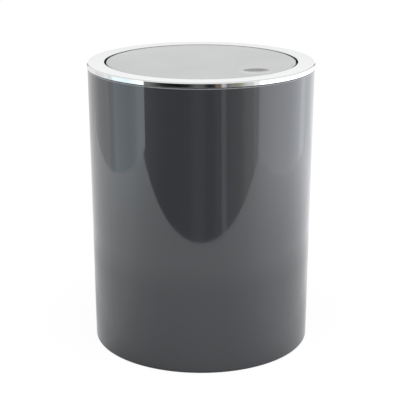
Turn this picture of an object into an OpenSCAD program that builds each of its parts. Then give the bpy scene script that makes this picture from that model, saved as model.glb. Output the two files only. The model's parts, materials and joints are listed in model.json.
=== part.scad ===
// Swing-lid bin: a round tapered bucket, a plated ring that lifts off with the flap,
// and a counterweighted flap that swings on two short pins.
// Millimetres, +Z up, origin on the floor under the centre of the bucket.
// The pivot axis runs along X and the finger dish lies towards -Y.

/* [Bin] */
// Outer diameter of the ring, the widest part of the bin
bin_d = 185; // [170:1:210]
// Height from the floor to the top of the ring
bin_h = 236; // [200:1:300]
// How far the bucket's foot stands in from its shoulder, on the radius
base_inset = 1.95; // [0.5:0.05:4]
// Wall thickness of the bucket
shell_t = 2.2; // [1.9:0.1:2.6]
// Thickness of the bucket's floor
floor_t = 2.6; // [2:0.1:4]
// Rise of the floor at its centre
floor_crown = 1; // [0.5:0.1:1.5]
// Height of the foot rim below the floor
foot_h = 2.5; // [1.8:0.1:4]
// Width of the foot rim
foot_w = 4; // [3.6:0.1:6]
// Rounding where the wall turns under to the foot
foot_r = 2.5; // [1.5:0.1:3]
// Rounding between the wall and the floor, inside
corner_r = 4; // [2:0.5:8]

/* [Ring] */
// Width of the ring's flat top, from its outer edge to the opening
ring_face_w = 14; // [13.8:0.1:18]
// Height of the ring's outer wall
ring_h = 3.9; // [3.4:0.1:5.6]
// Thickness of the ring's top
ring_top_t = 1.8; // [1.5:0.1:2]
// Thickness of the ring's outer wall
ring_wall_t = 1.5; // [1.2:0.1:1.8]
// Thickness of the lip that lines the opening
lip_t = 1.5; // [1.2:0.1:1.6]
// Height of that lip, measured down from the ring's top
lip_h = 7.5; // [7.2:0.1:8.2]
// How far the ring stands out past the bucket's shoulder
ring_overhang = 0.5; // [0.3:0.1:0.8]
// Shadow gap between the ring's lower edge and the shoulder
seam_gap = 1; // [0.4:0.1:1.3]
// Rounding of the ring's outer top edge
ring_edge_r = 1.3; // [0.5:0.1:1.6]
// Rounding of the edge round the opening
lip_edge_r = 0.6; // [0.3:0.1:0.9]
// Play between the ring's wall and the bucket's spigot
spigot_gap = 0.2; // [0.1:0.05:0.3]

/* [Flap] */
// Gap all round between the flap and the opening
flap_gap = 1.55; // [1.2:0.05:2.4]
// How far the flap's face lies below the ring's top
flap_recess = 0.3; // [0.1:0.1:0.8]
// Depth of the flap, from its face to its rim
flap_h = 9; // [8.8:0.1:10]
// Thickness of the flap's face
face_t = 1.8; // [1.5:0.1:2.2]
// Thickness of the flap's skirt
skirt_t = 1.6; // [1.2:0.1:2]
// Rounding of the flap's top edge
flap_edge_r = 0.8; // [0.3:0.1:1.1]
// Diameter of the finger dish
dish_d = 24; // [20:1:28]
// Depth of the finger dish
dish_depth = 2; // [1.4:0.1:2.4]
// Land left between the dish and the flap's edge
dish_land = 2.55; // [2:0.05:5]
// Thickness of the back cover
back_t = 1.6; // [1.3:0.1:2]
// Play between the back cover and the skirt
back_gap = 0.15; // [0.1:0.05:0.3]

/* [Pivot] */
// Depth of the pivot axis below the flap's face
pivot_depth = 5; // [4.8:0.1:5.1]
// Diameter of the pins
pin_d = 4; // [3.6:0.1:4.2]
// Running clearance between a pin and its bush, on the radius
pin_play = 0.05; // [0.02:0.01:0.08]
// Wall thickness of a bush
bush_t = 1.2; // [1:0.05:1.3]
// Length of a bush
bush_l = 3.6; // [3:0.1:3.9]
// Swing each way at which the stop arms meet the ring, in degrees
swing_stop = 80; // [60:1:82]
// Length of a stop arm from the axis
arm_l = 9; // [7:0.1:10]
// Width of a stop arm
arm_w = 3; // [2.4:0.1:3.4]
// Thickness of a stop arm along the axis
arm_t = 2; // [1.5:0.1:2.3]
// Length of the pivot bosses inside the flap
boss_l = 15; // [10:0.5:18]
// Wall of the pivot bosses round the pins
boss_wall = 1.6; // [1.2:0.1:1.7]

/* [Collar] */
// Thickness of the collar's flange
flange_t = 1.8; // [1.5:0.1:2.2]
// Depth of the plug that fits inside the bucket
plug_h = 14.5; // [12:0.5:25]
// Thickness of the plug's wall
plug_t = 1.6; // [1.3:0.1:1.8]
// Play between the plug's wall and the bucket
plug_gap = 0.45; // [0.4:0.05:0.6]
// Play between the plug's ribs and the bucket
rib_gap = 0.12; // [0.08:0.01:0.2]
// Depth of the wall round the throat
throat_h = 10.5; // [8:0.5:12]
// Thickness of the wall round the throat
throat_t = 1.6; // [1.3:0.1:1.8]
// Width of the saddles that hold the bushes
saddle_w = 12; // [10:0.5:16]

/* [Counterweight] */
// Length of the steel weight, along the pivot axis
weight_l = 80; // [60:1:90]
// Width of the steel weight
weight_w = 24; // [16:1:30]
// Thickness of the steel weight
weight_t = 6; // [4:0.1:6.8]
// Depth of the pod that holds it, below the flap's rim
pod_h = 8; // [7.5:0.1:10]
// Wall of the pod
pod_t = 1.6; // [1.2:0.1:2]

/* [Screws] */
// Screws that clamp the ring and the collar together
ring_screws_n = 6; // [6:2:8]
// Shank diameter of the ring screws
ring_screw_d = 2.9; // [2.4:0.1:3.2]
// Shank diameter of the flap screws
flap_screw_d = 2.4; // [2:0.1:2.9]
// How far the flap screws stand in from the flap's edge
flap_screw_inset = 17; // [12:0.5:22]

/* [Hidden] */

$fn = 64;
turn_fn = 160;
arc_steps = 6;
dome_steps = 8;

// One overrun for every cut that has to pass a face
overrun = 1;

// Radii and levels of the bucket and the ring
ring_r = bin_d / 2;
shoulder_r = ring_r - ring_overhang;
ring_low_z = bin_h - ring_h;
shoulder_z = ring_low_z - seam_gap;
ceiling_z = bin_h - ring_top_t;
lip_z = bin_h - lip_h;
hole_r = ring_r - ring_face_w;
lip_out_r = hole_r + lip_t;
ring_in_r = ring_r - ring_wall_t;
spigot_r = ring_in_r - spigot_gap;
spigot_chamfer = 0.3;
shoulder_edge_share = 0.75;
shoulder_edge_r = shoulder_edge_share * (shoulder_r - spigot_r);
floor_z = foot_h + floor_t;
gate_r = 2.5;
gate_h = 0.8;

// Radius of the bucket's wall at a height, outside and inside
function wall_r(z) = shoulder_r - base_inset * (shoulder_z - z) / shoulder_z;
function inner_r(z) = wall_r(z) - shell_t;

// Levels and radii of the flap
face_z = bin_h - flap_recess;
rim_z = face_z - flap_h;
pivot_z = face_z - pivot_depth;
flap_r = hole_r - flap_gap;
skirt_in_r = flap_r - skirt_t;
back_r = skirt_in_r - back_gap;
dish_r = dish_d / 2;
dish_y = -(flap_r - dish_land - dish_r);
dish_ball_r = (dish_r * dish_r + dish_depth * dish_depth) / (2 * dish_depth);
flap_rib_n = 8;
flap_rib_t = 1.2;
flap_rib_h = 2.6;
flap_rib_start = 12;

// Pivot, from the axis outwards
pin_r = pin_d / 2;
bore_r = pin_r + pin_play;
bush_r = bore_r + bush_t;
seat_gap = 0.05;
seat_r = bush_r + seat_gap;
journal_gap = 0.4;
journal_way_r = pin_r + journal_gap;
hub_wall = 0.6;
hub_r = pin_r + hub_wall;
hub_way_r = hub_r + journal_gap;

// Pivot, along the axis from the centre of the bin
boss_x = flap_r - boss_l;
boss_end_t = 1.8;
boss_r = pin_r + boss_wall;
pin_end_gap = 0.2;
pin_x = boss_x + boss_end_t + pin_end_gap;
pin_flat_share = 0.7;
pin_flat_z = pin_r * pin_flat_share;
bush_gap = 0.2;
bush_in_x = lip_out_r + bush_gap;
bush_out_x = bush_in_x + bush_l;
arm_in_x = bush_out_x + journal_gap;
arm_out_x = arm_in_x + arm_t;
arm_way_x = arm_out_x + journal_gap;
arm_reach = norm([arm_l, arm_w / 2]);
stop_gap = 0.1;
stop_z = pivot_z + arm_w / 2 * sin(swing_stop) - hub_r * cos(swing_stop) + stop_gap;
parting_gap = 0.2;
saddle_t = 2.4;

// Collar
flange_z = lip_z - flange_t;
plug_z = lip_z - plug_h;
throat_z = lip_z - throat_h;
throat_out_r = hole_r + throat_t;
plug_in_r = inner_r(plug_z) - plug_gap - plug_t;
lead_in = 0.7;
lead_h = 2;
rib_n = 12;
rib_r = 0.9;
web_t = 1.4;
web_rise = 1.5;

// Screws
ring_screw_r = ring_screw_d / 2;
ring_boss_r = 3;
ring_circle_r = (lip_out_r + plug_in_r) / 2;
ring_screw_start = 30;
ring_head_r = 2.75;
ring_head_h = 1.9;
ring_screw_bite = 4.4;
flap_screw_r = flap_screw_d / 2;
flap_boss_r = 3;
flap_circle_r = flap_r - flap_screw_inset;
flap_screws_n = 4;
flap_head_r = 2.5;
flap_head_h = 1.6;
flap_screw_bite = 4;
pilot_gap = 0.05;
clear_gap = 0.25;
tip_h = 0.8;
head_round = 0.8;
recess_w = 0.8;
recess_depth = 0.9;
recess_reach_share = 0.62;

// Counterweight and its pod
weight_gap = 0.3;
weight_corner_r = 2;
weight_z = rim_z - pod_h + pod_t;
pod_l = weight_l + 2 * (weight_gap + pod_t);
pod_w = weight_w + 2 * (weight_gap + pod_t);
hold_t = 1.4;
hold_place_share = 0.28;
hold_width_share = 0.7;

// Points of an arc about a centre, from one angle to another
function arc(centre, r, from, to) = [
    for (i = [0:arc_steps])
        let (a = from + (to - from) * i / arc_steps)
            centre + r * [cos(a), sin(a)]
];

// Points of a shallow dome, from its centre outwards
function dome(r, rise, z) = [
    for (i = [0:dome_steps])
        let (share = i / dome_steps)
            [r * share, z + rise * (1 - share * share)]
];

// The same points in the other order
function backwards(points) = [for (i = [len(points) - 1:-1:0]) points[i]];

// Outline of a rectangle with round corners, centred on the origin
function round_rect(l, w, r) = concat(
    arc([l / 2 - r, w / 2 - r], r, 0, 90),
    arc([r - l / 2, w / 2 - r], r, 90, 180),
    arc([r - l / 2, r - w / 2], r, 180, 270),
    arc([l / 2 - r, r - w / 2], r, 270, 360)
);

// A solid turned about the bin's axis from a profile of radius and height
module turned(profile) {
    rotate_extrude($fn = turn_fn)
        polygon(profile);
}

// A block between two opposite corners
module block(low, high) {
    translate(low)
        cube(high - low);
}

// A round bar on the pivot axis
module on_axis(from_x, to_x, r) {
    translate([from_x, 0, pivot_z])
        rotate([0, 90, 0])
            cylinder(h = to_x - from_x, r = r);
}

// The children at both ends of the pivot axis
module both_ends() {
    children();
    mirror([1, 0, 0])
        children();
}

// Copies of the children spread evenly round the bin's axis
module spread(n, start) {
    for (i = [0:n - 1])
        rotate(start + 360 * i / n)
            children();
}

module bucket() {
    foot_in_r = wall_r(0) - foot_w;
    top_in_r = inner_r(shoulder_z);
    floor_r = inner_r(floor_z + corner_r) - corner_r;
    profile = concat(
        dome(foot_in_r, floor_crown, foot_h),
        [[foot_in_r, 0]],
        arc([wall_r(foot_r) - foot_r, foot_r], foot_r, -90, 0),
        arc([shoulder_r - shoulder_edge_r, shoulder_z - shoulder_edge_r], shoulder_edge_r, 0, 90),
        [
            [spigot_r, shoulder_z],
            [spigot_r, ceiling_z - spigot_chamfer],
            [spigot_r - spigot_chamfer, ceiling_z],
            [top_in_r, ceiling_z],
            [top_in_r, shoulder_z]
        ],
        arc([floor_r, floor_z + corner_r], corner_r, 0, -90),
        backwards(dome(floor_r, floor_crown, floor_z))
    );
    color("#55585d")
    union() {
        turned(profile);
        // Mark left by the moulding gate, under the middle of the floor
        translate([0, 0, foot_h + floor_crown - gate_h])
            cylinder(h = gate_h + floor_t / 2, r = gate_r);
    }
}

// The upper halves of one bearing, hung from the ring's top: a keeper over the bush,
// and beyond it the block that the stop arm meets
module keeper() {
    top_z = ceiling_z + ring_top_t / 2;
    block([lip_out_r - lip_t / 2, -saddle_w / 2, pivot_z + parting_gap / 2], [bush_out_x, saddle_w / 2, top_z]);
    block([bush_out_x - lip_t / 2, -saddle_w / 2, stop_z], [arm_way_x, saddle_w / 2, top_z]);
}

// What one bearing takes out of the ring and the collar
module bearing_space() {
    on_axis(hole_r - overrun, bush_in_x + overrun, journal_way_r);
    on_axis(bush_in_x, bush_out_x, seat_r);
    on_axis(bush_out_x - overrun, arm_way_x, hub_way_r);
}

module chrome_ring() {
    profile = concat(
        [[ring_in_r, ring_low_z], [ring_r, ring_low_z]],
        arc([ring_r - ring_edge_r, bin_h - ring_edge_r], ring_edge_r, 0, 90),
        arc([hole_r + lip_edge_r, bin_h - lip_edge_r], lip_edge_r, 90, 180),
        [
            [hole_r, lip_z],
            [lip_out_r, lip_z],
            [lip_out_r, ceiling_z],
            [ring_in_r, ceiling_z]
        ]
    );
    color("#dcdee0")
    difference() {
        union() {
            turned(profile);
            both_ends()
                keeper();
            spread(ring_screws_n, ring_screw_start)
                translate([ring_circle_r, 0, lip_z])
                    cylinder(h = ceiling_z + ring_top_t / 2 - lip_z, r = ring_boss_r);
        }
        both_ends() {
            bearing_space();
            // Notch up which the pin slides into the lip from below
            block([hole_r - overrun, -journal_way_r, lip_z - overrun], [lip_out_r + bush_gap, journal_way_r, pivot_z]);
        }
        spread(ring_screws_n, ring_screw_start)
            translate([ring_circle_r, 0, lip_z - overrun])
                cylinder(h = overrun + ring_screw_bite + tip_h, r = ring_screw_r + pilot_gap);
    }
}

// The lower half of one bearing: a saddle that stands through the flange
module saddle() {
    low_z = pivot_z - seat_r - saddle_t;
    block([throat_out_r - throat_t / 2, -saddle_w / 2, low_z], [bush_out_x, saddle_w / 2, lip_z]);
    block([bush_in_x, -saddle_w / 2, low_z], [bush_out_x, saddle_w / 2, pivot_z - parting_gap / 2]);
}

module hinge_collar() {
    profile = [
        [hole_r, lip_z],
        [hole_r, throat_z],
        [throat_out_r, throat_z],
        [throat_out_r, flange_z],
        [plug_in_r, flange_z],
        [plug_in_r, plug_z],
        [inner_r(plug_z) - plug_gap - lead_in, plug_z],
        [inner_r(plug_z + lead_h) - plug_gap, plug_z + lead_h],
        [inner_r(lip_z) - plug_gap, lip_z]
    ];
    slot_reach = arm_reach + journal_gap;
    rib_x = inner_r(plug_z + lead_h) - rib_gap - rib_r;
    color("#303236")
    difference() {
        union() {
            turned(profile);
            both_ends()
                saddle();
            // Ribs that centre the plug in the bucket
            spread(rib_n, 360 / rib_n / 2)
                translate([rib_x, 0, plug_z + lead_h])
                    cylinder(h = flange_z - plug_z - lead_h, r = rib_r);
            // Webs between the throat's wall and the plug
            spread(rib_n, 360 / rib_n / 2)
                block([throat_out_r - throat_t / 2, -web_t / 2, throat_z + web_rise],
                      [plug_in_r + plug_t / 2, web_t / 2, flange_z + flange_t / 2]);
        }
        both_ends() {
            bearing_space();
            // Slot through which the stop arm hangs
            block([bush_out_x, -slot_reach, flange_z - overrun], [arm_way_x, slot_reach, lip_z + overrun]);
        }
        spread(ring_screws_n, ring_screw_start)
            translate([ring_circle_r, 0, flange_z - overrun])
                cylinder(h = flange_t + 2 * overrun, r = ring_screw_r + clear_gap);
    }
}

// A pan head screw that points up, with the underside of its head at the origin
module screw(shank_r, shank_l, head_r, head_h) {
    profile = concat(
        [[0, shank_l], [0, -head_h]],
        arc([head_r - head_round, head_round - head_h], head_round, -90, 0),
        [[head_r, 0], [shank_r, 0], [shank_r, shank_l - tip_h], [shank_r / 2, shank_l]]
    );
    reach = head_r * recess_reach_share;
    difference() {
        turned(profile);
        for (a = [0, 90])
            rotate(a)
                block([-reach, -recess_w / 2, -head_h - overrun], [reach, recess_w / 2, recess_depth - head_h]);
    }
}

module ring_screws() {
    color("#b4b8bd")
    spread(ring_screws_n, ring_screw_start)
        translate([ring_circle_r, 0, flange_z])
            screw(ring_screw_r, flange_t + ring_screw_bite, ring_head_r, ring_head_h);
}

// A plain bush at the right-hand end of the axis
module bush() {
    difference() {
        on_axis(bush_in_x, bush_out_x, bush_r);
        on_axis(bush_in_x - overrun, bush_out_x + overrun, bore_r);
    }
}

module pivot_bush_right() {
    color("#1f2022")
    bush();
}

module pivot_bush_left() {
    color("#1f2022")
    mirror([1, 0, 0])
        bush();
}

// A bar on the axis with its top cut off flat, as the pins have it to turn with the flap
module flatted_bar(from_x, to_x, r, flat_z) {
    difference() {
        on_axis(from_x, to_x, r);
        block([from_x - overrun, -r - overrun, pivot_z + flat_z], [to_x + overrun, r + overrun, pivot_z + r + overrun]);
    }
}

// A pin at the right-hand end of the axis, with its stop arm hanging down
module pin() {
    tip_z = pivot_z - arm_l + arm_w / 2;
    union() {
        flatted_bar(pin_x, flap_r + pin_end_gap, pin_r, pin_flat_z);
        on_axis(flap_r + pin_end_gap, arm_in_x, pin_r);
        on_axis(arm_in_x, arm_out_x, hub_r);
        block([arm_in_x, -arm_w / 2, tip_z], [arm_out_x, arm_w / 2, pivot_z]);
        translate([arm_in_x, 0, tip_z])
            rotate([0, 90, 0])
                cylinder(h = arm_t, r = arm_w / 2);
    }
}

module pivot_pin_right() {
    color("#e6e4dc")
    pin();
}

module pivot_pin_left() {
    color("#e6e4dc")
    mirror([1, 0, 0])
        pin();
}

// The dish's ball, with a given radius, standing over its place on the face
module dish_ball(r) {
    translate([0, dish_y, face_z - dish_depth + dish_ball_r])
        sphere(r = r, $fn = turn_fn);
}

// The swelling that keeps the face's thickness under the dish
module dish_cup() {
    cup_h = dish_depth + face_t;
    intersection() {
        dish_ball(dish_ball_r + face_t);
        translate([0, dish_y, face_z - cup_h - overrun])
            cylinder(h = cup_h + overrun - face_t / 2, r = dish_r + dish_land / 2);
    }
}

module flap_plate() {
    under_z = face_z - face_t;
    profile = concat(
        [[0, under_z], [skirt_in_r, under_z], [skirt_in_r, rim_z], [flap_r, rim_z]],
        arc([flap_r - flap_edge_r, face_z - flap_edge_r], flap_edge_r, 0, 90),
        [[0, face_z]]
    );
    back_z = rim_z + back_t;
    hold_x = weight_l * hold_place_share;
    hold_y = weight_w / 2 * hold_width_share;
    color("#c9cacc")
    difference() {
        union() {
            turned(profile);
            dish_cup();
            both_ends() {
                on_axis(boss_x, skirt_in_r + skirt_t / 2, boss_r);
                // Rib that holds the weight down in its pod
                block([hold_x - hold_t / 2, -hold_y, weight_z + weight_t + weight_gap],
                      [hold_x + hold_t / 2, hold_y, under_z + face_t / 2]);
            }
            spread(flap_screws_n, 180 / flap_screws_n)
                translate([flap_circle_r, 0, back_z])
                    cylinder(h = under_z + face_t / 2 - back_z, r = flap_boss_r);
            // Ribs that stiffen the face
            spread(flap_rib_n, 180 / flap_rib_n)
                block([flap_rib_start, -flap_rib_t / 2, under_z - flap_rib_h],
                      [skirt_in_r + skirt_t / 2, flap_rib_t / 2, under_z + face_t / 2]);
        }
        dish_ball(dish_ball_r);
        both_ends()
            flatted_bar(boss_x + boss_end_t, flap_r + overrun, bore_r, pin_flat_z + pin_play);
        spread(flap_screws_n, 180 / flap_screws_n)
            translate([flap_circle_r, 0, back_z - overrun])
                cylinder(h = overrun + flap_screw_bite + tip_h, r = flap_screw_r + pilot_gap);
    }
}

module flap_back() {
    pod_z = rim_z - pod_h;
    pod_corner_r = weight_corner_r + weight_gap + pod_t;
    notch_w = boss_r + journal_gap;
    color("#45474b")
    difference() {
        union() {
            translate([0, 0, rim_z])
                cylinder(h = back_t, r = back_r, $fn = turn_fn);
            translate([0, 0, pod_z])
                linear_extrude(pod_h + back_t / 2)
                    polygon(round_rect(pod_l, pod_w, pod_corner_r));
        }
        // The pod's inside, open towards the flap's face
        translate([0, 0, weight_z])
            linear_extrude(rim_z + back_t + overrun - weight_z)
                polygon(round_rect(weight_l + 2 * weight_gap, weight_w + 2 * weight_gap, weight_corner_r + weight_gap));
        both_ends()
            block([boss_x - journal_gap, -notch_w, rim_z - overrun], [back_r + overrun, notch_w, rim_z + back_t + overrun]);
        spread(flap_screws_n, 180 / flap_screws_n)
            translate([flap_circle_r, 0, rim_z - overrun])
                cylinder(h = back_t + 2 * overrun, r = flap_screw_r + clear_gap);
    }
}

module counterweight() {
    color("#8f9499")
    translate([0, 0, weight_z])
        linear_extrude(weight_t)
            polygon(round_rect(weight_l, weight_w, weight_corner_r));
}

module flap_screws() {
    color("#b4b8bd")
    spread(flap_screws_n, 180 / flap_screws_n)
        translate([flap_circle_r, 0, rim_z])
            screw(flap_screw_r, back_t + flap_screw_bite, flap_head_r, flap_head_h);
}

bucket();
chrome_ring();
hinge_collar();
ring_screws();
pivot_bush_left();
pivot_bush_right();
flap_plate();
flap_back();
counterweight();
flap_screws();
pivot_pin_left();
pivot_pin_right();
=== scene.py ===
"""A swing-lid bin: gloss anthracite bucket, chrome-plated ring and silver flap, in a white studio.

Lengths are in metres. The bin stands on the floor at the origin, its pivot axis runs along X
and its finger dish lies towards -Y.
"""

import json
import logging
import math
from dataclasses import dataclass
from enum import Enum

import bmesh
import bpy
from mathutils import Matrix, Vector

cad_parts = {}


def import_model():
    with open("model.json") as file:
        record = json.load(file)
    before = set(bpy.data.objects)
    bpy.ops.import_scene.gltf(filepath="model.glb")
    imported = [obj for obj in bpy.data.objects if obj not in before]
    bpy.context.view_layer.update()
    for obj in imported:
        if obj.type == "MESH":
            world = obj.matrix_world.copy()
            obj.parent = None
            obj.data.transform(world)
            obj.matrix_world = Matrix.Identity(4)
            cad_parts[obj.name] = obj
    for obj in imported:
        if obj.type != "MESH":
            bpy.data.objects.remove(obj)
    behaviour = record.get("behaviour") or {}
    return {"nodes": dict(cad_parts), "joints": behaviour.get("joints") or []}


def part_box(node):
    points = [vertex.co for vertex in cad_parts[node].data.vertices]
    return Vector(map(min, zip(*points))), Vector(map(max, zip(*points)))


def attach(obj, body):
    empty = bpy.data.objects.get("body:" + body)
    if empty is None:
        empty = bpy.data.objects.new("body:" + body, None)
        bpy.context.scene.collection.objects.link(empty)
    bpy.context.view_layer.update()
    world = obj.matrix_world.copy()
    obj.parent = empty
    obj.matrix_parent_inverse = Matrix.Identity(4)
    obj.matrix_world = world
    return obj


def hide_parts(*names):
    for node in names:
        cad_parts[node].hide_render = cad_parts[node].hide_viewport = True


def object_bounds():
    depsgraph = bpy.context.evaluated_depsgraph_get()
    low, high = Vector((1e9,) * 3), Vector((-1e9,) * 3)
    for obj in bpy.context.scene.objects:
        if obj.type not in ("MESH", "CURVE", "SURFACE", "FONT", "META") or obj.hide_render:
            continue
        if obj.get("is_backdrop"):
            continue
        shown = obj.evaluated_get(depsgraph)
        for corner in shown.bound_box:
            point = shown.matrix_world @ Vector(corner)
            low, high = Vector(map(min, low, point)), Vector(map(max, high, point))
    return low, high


LOG = logging.getLogger("bin")
MM = 0.001
AXIS_X = (1.0, 0.0, 0.0)
AXIS_Z = (0.0, 0.0, 1.0)
FULL_TURN = 2 * math.pi
MERGE_DISTANCE = 1e-7
SAME_PLACE = 1e-5
TURN_STEPS = 288
BAR_STEPS = 64
SMOOTH_ANGLE = math.radians(32)
FLAT_WEIGHT = 100
NOISE_LOW = 0.3
NOISE_HIGH = 0.7
WHITE = "#FFFFFF"

Outline = list[tuple[float, float]]
Place = tuple[float, float, float]
Sockets = dict[str | int, object]
Piece = bpy.types.Object
Shape = bmesh.types.BMesh
Material = bpy.types.Material
Tree = bpy.types.NodeTree
Node = bpy.types.Node
Socket = bpy.types.NodeSocket


class Body(Enum):
    """The three bodies that move against each other."""

    BUCKET = "bucket"
    LID_FRAME = "lid_frame"
    FLAP = "flap"


class Action(Enum):
    """How a solid changes the piece that it meets."""

    JOIN = "UNION"
    CUT = "DIFFERENCE"


@dataclass(frozen=True)
class Rim:
    """A circular corner of a turned piece that gets rounded."""

    radius: float
    height: float
    rounding: float
    segments: int


# Colour and nodes


def linear_colour(hex_code: str) -> tuple[float, float, float, float]:
    """Turns an sRGB hex colour into linear values.

    Args:
        hex_code: Six hex digits, with or without a leading hash.

    Returns:
        Red, green, blue and an alpha of one.
    """
    digits = hex_code.lstrip("#")
    channels = [int(digits[i : i + 2], 16) / 255 for i in (0, 2, 4)]
    red, green, blue = [c / 12.92 if c <= 0.04045 else ((c + 0.055) / 1.055) ** 2.4 for c in channels]
    return (red, green, blue, 1.0)


def add_node(
    tree: Tree, kind: str, settings: dict[str, object] | None = None, inputs: Sockets | None = None
) -> Node:
    """Adds one node with its settings, its socket values and its links.

    Args:
        tree: The node tree that gets the node.
        kind: The node's type, such as ShaderNodeBump.
        settings: Properties of the node by name.
        inputs: For each input socket, a value, or the output socket that feeds it. A node
            stands for its first output.

    Returns:
        The new node.
    """
    node = tree.nodes.new(kind)
    for name, value in (settings or {}).items():
        setattr(node, name, value)
    for name, value in (inputs or {}).items():
        source = value.outputs[0] if isinstance(value, Node) else value
        if isinstance(source, Socket):
            tree.links.new(source, node.inputs[name])
        else:
            node.inputs[name].default_value = source
    return node


def empty_material(name: str) -> Material:
    """Makes a material with an empty node tree.

    Args:
        name: Its name.

    Returns:
        The material.
    """
    material = bpy.data.materials.new(name)
    material.use_nodes = True
    material.node_tree.nodes.clear()
    return material


# Finishes


@dataclass(frozen=True)
class Pattern:
    """Noise in the piece's own coordinates: about how wide a patch is, and how many finer layers it has."""

    size: float
    detail: float = 2.0


@dataclass(frozen=True)
class Finish:
    """What the finishes have in common: two close colours in patches, uneven gloss and a shallow relief.

    A finish is even in what it has no pattern for. Its roughness is given at the low and the
    high patches of its gloss.
    """

    name: str
    colour: str
    second_colour: str = WHITE
    colour_pattern: Pattern | None = None
    roughness: tuple[float, float] = (0.5, 0.5)
    gloss_pattern: Pattern | None = None
    relief: Pattern | None = None
    relief_depth: float = 0.0
    metallic: float = 0.0
    ior: float | None = None

    def build(self) -> Material:
        """Makes the material with its pattern, gloss and relief.

        Returns:
            The material.
        """
        material = empty_material(self.name)
        tree = material.node_tree
        place = add_node(tree, "ShaderNodeTexCoord").outputs["Object"]
        noise: dict[Pattern, Node] = {}
        for pattern in (self.colour_pattern, self.gloss_pattern, self.relief):
            if pattern and pattern not in noise:
                values = {"Vector": place, "Scale": 1 / pattern.size, "Detail": pattern.detail}
                noise[pattern] = add_node(tree, "ShaderNodeTexNoise", inputs=values)
        first, second = linear_colour(self.colour), linear_colour(self.second_colour)
        low, high = self.roughness
        surface: Sockets = {"Base Color": first, "Metallic": self.metallic, "Roughness": low}
        if self.colour_pattern:
            blend = {0: noise[self.colour_pattern], 6: first, 7: second}
            surface["Base Color"] = add_node(tree, "ShaderNodeMix", {"data_type": "RGBA"}, blend).outputs[2]
        if self.gloss_pattern:
            spread = {"Value": noise[self.gloss_pattern], "From Min": NOISE_LOW, "From Max": NOISE_HIGH}
            spread |= {"To Min": low, "To Max": high}
            surface["Roughness"] = add_node(tree, "ShaderNodeMapRange", inputs=spread)
        if self.relief:
            bump = {"Height": noise[self.relief], "Distance": self.relief_depth}
            surface["Normal"] = add_node(tree, "ShaderNodeBump", inputs=bump)
        if self.ior:
            surface["IOR"] = self.ior
        shader = add_node(tree, "ShaderNodeBsdfPrincipled", inputs=surface)
        add_node(tree, "ShaderNodeOutputMaterial", inputs={"Surface": shader})
        return material


@dataclass(frozen=True)
class GlossPolystyrene(Finish):
    """Injection-moulded polystyrene from a polished mould: deep gloss over an even dark grey.

    The mould leaves long, very shallow waves that only bend the edges of reflections a little.
    """

    name: str = "gloss_polystyrene"
    colour: str = "#343538"
    second_colour: str = "#37383B"
    colour_pattern: Pattern = Pattern(70 * MM)
    roughness: tuple[float, float] = (0.03, 0.06)
    gloss_pattern: Pattern = Pattern(22 * MM, detail=1.0)
    relief: Pattern = Pattern(22 * MM, detail=1.0)
    relief_depth: float = 0.006 * MM
    ior: float = 1.59


@dataclass(frozen=True)
class ChromePlate(Finish):
    """Bright chrome electroplated on moulded ABS: a mirror with the faint waves of the plastic under it."""

    name: str = "chrome_plated_abs"
    colour: str = "#D2D3D3"
    roughness: tuple[float, float] = (0.03, 0.055)
    gloss_pattern: Pattern = Pattern(9 * MM, detail=1.0)
    relief: Pattern = Pattern(9 * MM, detail=1.0)
    relief_depth: float = 0.006 * MM
    metallic: float = 1.0


@dataclass(frozen=True)
class SilverLacquer(Finish):
    """Silver lacquer sprayed on ABS: aluminium flake in a satin coat, even from a step away.

    Real flake is about 0.03 mm across; it is drawn ten times as coarse so that it shows close up.
    The coat dries with a faint orange peel.
    """

    name: str = "silver_lacquer"
    colour: str = "#BCBCBC"
    second_colour: str = "#B6B6B7"
    colour_pattern: Pattern = Pattern(0.3 * MM)
    roughness: tuple[float, float] = (0.36, 0.42)
    gloss_pattern: Pattern = Pattern(40 * MM)
    relief: Pattern = Pattern(1.6 * MM, detail=1.0)
    relief_depth: float = 0.004 * MM
    metallic: float = 0.55


@dataclass(frozen=True)
class MouldedAbs(Finish):
    """ABS from a spark-eroded mould: a fine even grain that breaks up the shine."""

    colour_pattern: Pattern = Pattern(25 * MM)
    roughness: tuple[float, float] = (0.38, 0.5)
    gloss_pattern: Pattern = Pattern(25 * MM)
    relief: Pattern = Pattern(0.45 * MM)
    relief_depth: float = 0.008 * MM
    ior: float = 1.53


@dataclass(frozen=True)
class Acetal(Finish):
    """Moulded acetal, the waxy slippery plastic of small bearings."""

    colour_pattern: Pattern = Pattern(3 * MM)
    roughness: tuple[float, float] = (0.32, 0.32)
    relief: Pattern = Pattern(0.3 * MM)
    relief_depth: float = 0.003 * MM
    ior: float = 1.48


@dataclass(frozen=True)
class ZincSteel(Finish):
    """Zinc-plated steel: bright but cloudy, with the spangle of the plating bath."""

    colour_pattern: Pattern = Pattern(2.5 * MM, detail=3.0)
    roughness: tuple[float, float] = (0.26, 0.4)
    gloss_pattern: Pattern = Pattern(2.5 * MM, detail=3.0)
    metallic: float = 1.0


# Mesh tools


def smooth_shaded(mesh: bpy.types.Mesh) -> None:
    """Shades a mesh smooth and marks its real corners sharp."""
    mesh.polygons.foreach_set("use_smooth", [True] * len(mesh.polygons))
    mesh.set_sharp_from_angle(angle=SMOOTH_ANGLE)


def to_object(shape: Shape, name: str) -> Piece:
    """Turns a finished bmesh into an object at the origin and frees it.

    Args:
        shape: The bmesh, with its place in its points.
        name: The object's name.

    Returns:
        The new object, linked to the scene.
    """
    mesh = bpy.data.meshes.new(name)
    shape.to_mesh(mesh)
    shape.free()
    smooth_shaded(mesh)
    piece = bpy.data.objects.new(name, mesh)
    bpy.context.scene.collection.objects.link(piece)
    return piece


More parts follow.
